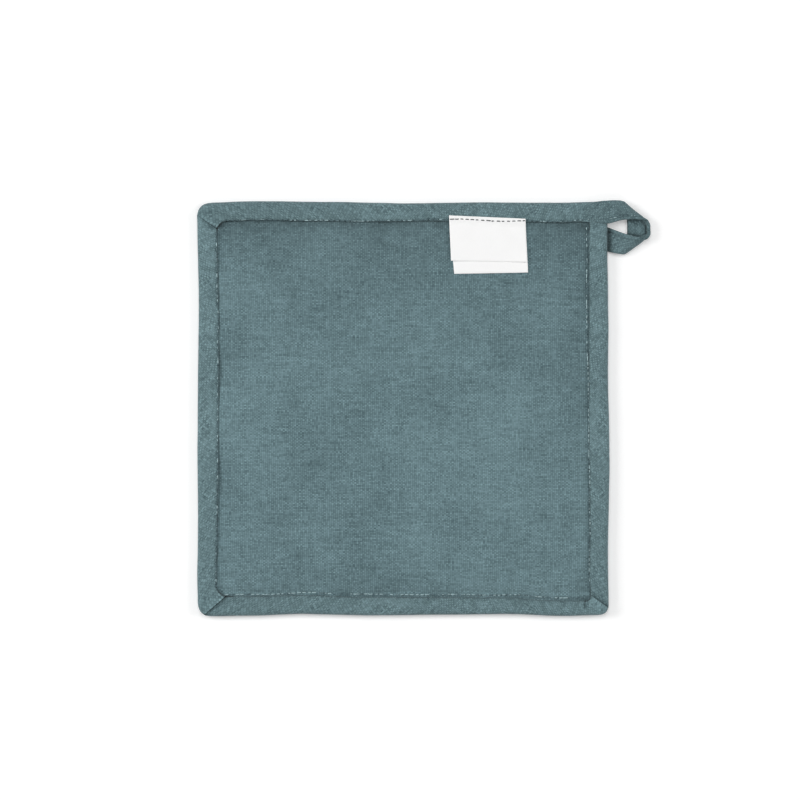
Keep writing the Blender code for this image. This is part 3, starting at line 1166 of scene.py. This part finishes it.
# Ribbon label, folded at its top edge. Its corners in pixels. Each leaf has its length
# and how far it leans to the right, both at its left and at its right edge.
label = {
    "topLeft": (448.6, 215.6),
    "topRight": (525.1, 218.9),
    "upperLeaf": (22.0, 21.0),
    "underLeaf": (28.3, 26.1),
    "upperLean": (1.9, 1.7),
    "underLean": (3.7, 2.3),
    "thickness": 0.26,
    "leafGap": 0.16,
    "columns": 44,
    "curl": 0.6,
    "clear": 0.1,
}

padTree = surfaceTree([backCloth, frontCloth, bindingTape])
topOfPad = heightReader(padTree)
undersideOfPad = heightReader(padTree, below=True)


def bedHeight(x, y):
    # the ribbon is stiffer than the cloth, so it bridges small hollows
    near = [topOfPad(x + dx, y + dy) for dx in (-1.2, 0, 1.2) for dy in (-1.8, 0, 1.8)]
    return max(near) * 0.6 + topOfPad(x, y) * 0.4


def makeLabel():
    left, right = fromPhoto(*label["topLeft"]), fromPhoto(*label["topRight"])
    width = (right - left).length
    along = (right - left).normalized()
    down = Vector((along.y, -along.x, 0))
    layer = label["thickness"] + label["leafGap"]
    long = {leaf: sum(label[leaf + "Leaf"]) / 2 for leaf in ("under", "upper")}
    # how far down, how high between the layers, and which leaf
    path = [(long["under"] * (1 - share), 0.0, "under") for share in evenly(34)[:-1]]
    for share in evenly(6):
        turn = math.pi * share
        path.append((layer / 2 * (1 - math.sin(turn)), (1 - math.cos(turn)) / 2, "under"))
    path += [(long["upper"] * share, 1.0, "upper") for share in evenly(27)[1:]]
    rows, columns = len(path) - 1, label["columns"]

    def place(column, row):
        distance, level, leaf = path[row]
        share = column / columns
        atLeft, atRight = label[leaf + "Leaf"]
        ends = atLeft * (1 - share) + atRight * share
        distance *= ends / long[leaf]
        lean = label[leaf + "Lean"]
        lean = (lean[0] + (lean[1] - lean[0]) * share) * distance / ends
        point = left + along * (width * share + lean) + down * distance
        height = bedHeight(point.x, point.y) + label["clear"] + label["thickness"] / 2
        height += level * layer
        lift = smoothStep(ends - 9, ends, distance) * (abs(share - 0.5) * 2) ** 3
        height += lift * label["curl"] * (1.0 if leaf == "upper" else 0.5)
        height += ripple(point.x, point.y, 16.0, 12) * 0.14 * smoothStep(3, 14, distance)
        return Vector((point.x, point.y, height))

    lengths = runningLengths([Vector((far, level * layer)) for far, level, _ in path])

    def uv(u, v):
        return (u / columns * width * mm, lengths[int(round(v))] * mm)

    piece = clothGrid("careLabel", columns, rows, place, uv)
    applyModifier(piece, "SOLIDIFY", thickness=label["thickness"] * mm, offset=0)
    edges = {"limit_method": "ANGLE", "angle_limit": math.radians(60)}
    applyModifier(piece, "BEVEL", width=0.05 * mm, segments=1, **edges)
    finishPiece(piece, ribbonLook, ["care_label"])
    return piece, left, right


careLabel, labelLeft, labelRight = makeLabel()
print("label made")

# Machine stitches: one short arc of thread each, sunk at both ends, as (share of its
# length, height over the cloth). A needle hole takes every point of the cloth within
# its radius in plan and its reach in height; from faceFrom up it is in the back face.
stitching = {
    "pitch": 2.5,
    "length": 1.6,
    "uneven": 0.85,
    "thread": 0.22,
    "arc": ((-0.5, -0.35), (-0.36, 0.07), (0, 0.2), (0.36, 0.07), (0.5, -0.35)),
    "loopArc": ((-0.5, -0.3), (-0.36, 0.1), (0, 0.22), (0.36, 0.1), (0.5, -0.3)),
    "wander": 0.14,
    "drift": 0.45,
    "frontInset": ((0, -1.2), (1, -1.2)),
    "holeRadius": 0.55,
    "holeReach": 1.1,
    "faceFrom": 2.3,
    "holeDepth": 0.5,
    "holeShade": 0.5,
}


def seamLine(side, insets, start, end):
    long, away = sideHalf(side, 1.0)
    points = []
    for part in evenly(160):
        share = start + (end - start) * part
        at = -long + 2 * long * share
        inset = alongTable(insets, share) + alongTable(side["reach"], share)
        inset += ripple(at, long, 15.0, 21) * stitching["drift"]
        points.append(side["along"] * at + side["out"] * (away - inset))
    return points


def stitchLine(points, surface, way=1):
    # stitches along a line of plan points; surface gives the height there, and way is -1
    # on the underside
    lengths = runningLengths(points)
    count = int(lengths[-1] / stitching["pitch"])
    stitches = []
    for number in range(count):
        uneven = ripple(number * 3.17, 0.4, 1.0, 33) * stitching["uneven"]
        middle = (number + 0.5) * lengths[-1] / count + uneven * 0.6
        long = stitching["length"] * (1 + uneven)
        arc = []
        for share, lift in stitching["arc"]:
            x, y = pointAlong(points, lengths, middle + share * long)
            wander = ripple(x * 3 + number, y, 3.0, 15) * stitching["wander"]
            z = surface(x + wander, y + wander) + lift * way
            arc.append(Vector((x + wander, y + wander, max(z, stitching["thread"]))))
        stitches.append(arc)
    return stitches


def loopStitches():
    # along the stitch line of the loop's upper arm, on both faces of the tape
    first, last = (line / (len(loop["lines"]) - 1) for line in loop["sewn"])
    points = [
        loopFrame(first + (last - first) * share, loop["seamAt"]) for share in evenly(159)
    ]
    half = loop["thickness"] / 2 * 0.55
    travelled, nextAt = 0.0, 1.0
    arcs, shape = [], stitching["loopArc"]
    for (a, _), (b, up) in zip(points, points[1:]):
        travelled += (b - a).length
        if travelled < nextAt:
            continue
        nextAt += stitching["pitch"]
        way = (b - a).normalized() * stitching["length"]
        for face in (1, -1):
            out = up * face
            arcs.append([b + way * share + out * (half + rise) for share, rise in shape])
    return arcs


def sewThread(name, stitches, material):
    curve = bpy.data.curves.new(name, "CURVE")
    curve.dimensions = "3D"
    curve.bevel_depth = stitching["thread"] * mm
    curve.bevel_resolution = 1
    curve.use_fill_caps = True
    for arc in stitches:
        spline = curve.splines.new("POLY")
        spline.points.add(len(arc) - 1)
        for point, target in zip(arc, spline.points):
            target.co = (*(point * mm), 1)
    piece = bpy.data.objects.new(name, curve)
    bpy.context.scene.collection.objects.link(piece)
    makeActive(piece)
    bpy.ops.object.convert(target="MESH")
    bpy.ops.object.shade_smooth()
    finishPiece(bpy.context.object, material)


def pressHoles(holes, pieces):
    # the needle draws the cloth down into a small dimple at both ends of a stitch, and the
    # dimple gets painted shade
    radius, reach = stitching["holeRadius"] * mm, stitching["holeReach"] * mm
    tree = KDTree(len(holes))
    for number, hole in enumerate(holes):
        tree.insert(hole * mm, number)
    tree.balance()
    for piece in pieces:
        shades = piece.data.attributes["shade"].data
        for vertex in piece.data.vertices:
            place = tree.find(vertex.co)[0]
            flat = (vertex.co - place).to_2d().length
            if flat < radius and abs(vertex.co.z - place.z) < reach:
                way = -1 if place.z > stitching["faceFrom"] * mm else 1
                near = (1 - (flat / radius) ** 2) ** 2
                vertex.co.z += near * stitching["holeDepth"] * mm * way
                vertex.co.z = max(vertex.co.z, 0.00002)
                shades[vertex.index].value += near * stitching["holeShade"]
        piece.data.update()


def sewAll():
    sewnTree = surfaceTree([backCloth, frontCloth, bindingTape, careLabel])
    topOfAll = heightReader(sewnTree)
    back, plain, front = [], [], []
    for side in sides:
        row = stitchLine(seamLine(side, side["stitch"], *side["sewn"]), topOfAll)
        (plain if side["name"] in ("right", "bottom") else back).extend(row)
        line = seamLine(side, stitching["frontInset"], 0.05, 0.95)
        front += stitchLine(line, undersideOfPad, way=-1)
    holes = [arc[end] for arc in back + plain + front for end in (0, -1)]
    pressHoles(holes, [bindingTape, backCloth, frontCloth])

    def onLabel(arc):
        return labelLeft.x < arc[2].x < labelRight.x and arc[2].y > labelRight.y - 8

    sewThread("labelStitches", [arc for arc in back if onLabel(arc)], shadedLabelThreadLook)
    back = [arc for arc in back if not onLabel(arc)]
    sewThread("topLeftStitches", back + loopStitches(), threadLook)
    # the right and bottom stitches take the copy with more painted highlight
    sewThread("rightBottomStitches", plain, litThreadLook)
    sewThread("frontStitches", front, threadLook)


sewAll()
print("stitches sewn")

# Floor, light and camera. Each softbox: place in metres, size in metres, and its share
# of the light on the floor. sensor and cameraFocus in millimetres.
studio = {
    "floor": 0.93,
    "floorGlow": 0.17,
    "world": 0.26,
    "softboxes": (
        {"place": (-0.1, 0.75, 1.9), "size": 1.0, "share": 0.25},
        {"place": (0.1, -1.5, 1.5), "size": 1.0, "share": 0.09},
        {"place": (-1.75, 0.4, 1.15), "size": 1.0, "share": 0.27},
        {"place": (1.75, 0.3, 1.2), "size": 1.0, "share": 0.16},
    ),
    "cameraHeight": 1.5,
    "cameraFocus": 5.0,
    "sensor": 36.0,
}


def makeFloor():
    bpy.ops.object.select_all(action="DESELECT")
    bpy.ops.mesh.primitive_plane_add(size=6, location=(0, 0, 0))
    floor = bpy.context.object
    floor.name = "floor"
    material, desk = newMaterial("floorPaper")
    shader = desk.tree.nodes["Principled BSDF"]
    paper = (studio["floor"],) * 3 + (1,)
    desk.fill(shader, {"Base Color": paper, "Roughness": 0.9, "Specular IOR Level": 0.0})
    # the paper reads as white to the camera and still takes the shadow
    seen = desk.add("LightPath").outputs["Is Camera Ray"]
    glow = {"Color": (1, 1, 1, 1), "Strength": desk.times(seen, studio["floorGlow"])}
    glow = desk.add("Emission", glow)
    both = desk.add("AddShader", {0: shader.outputs[0], 1: glow.outputs[0]})
    desk.fill(desk.tree.nodes["Material Output"], {"Surface": both.outputs[0]})
    floor.data.materials.append(material)


def makeLight():
    scene = bpy.context.scene
    world = bpy.data.worlds.new("studioAir")
    scene.world = world
    world.use_nodes = True
    desk = NodeDesk(world.node_tree)
    path = desk.add("LightPath").outputs
    seen = desk.math("MAXIMUM", path["Is Camera Ray"], path["Is Glossy Ray"])
    strength = desk.mix(seen, studio["world"], 1.0)
    sky = world.node_tree.nodes["Background"]
    desk.fill(sky, {"Color": (1, 1, 1, 1), "Strength": strength})
    for number, softbox in enumerate(studio["softboxes"]):
        place = Vector(softbox["place"])
        data = bpy.data.lights.new("softbox" + str(number), "AREA")
        data.shape = "SQUARE"
        data.size = softbox["size"]
        data.energy = softbox["share"] * math.pi**2 * place.length**3 / place.z
        lamp = bpy.data.objects.new(data.name, data)
        lamp.location = place
        lamp.rotation_euler = place.to_track_quat("Z", "Y").to_euler()
        scene.collection.objects.link(lamp)


def makeCamera():
    scene = bpy.context.scene
    data = bpy.data.cameras.new("overhead")
    camera = bpy.data.objects.new("overhead", data)
    middle = fromPhoto(*photo["imageMiddle"]) * mm
    height = studio["cameraHeight"]
    camera.location = (middle.x, middle.y, height)
    data.sensor_fit = "HORIZONTAL"
    data.sensor_width = studio["sensor"]
    width = photo["size"] * photo["mmPerPixel"] * mm
    data.lens = studio["sensor"] * (height - studio["cameraFocus"] * mm) / width
    data.clip_end = 20
    scene.collection.objects.link(camera)
    scene.camera = camera


makeFloor()
makeLight()
makeCamera()
bpy.context.scene.view_settings.view_transform = "Standard"
print("studio set")
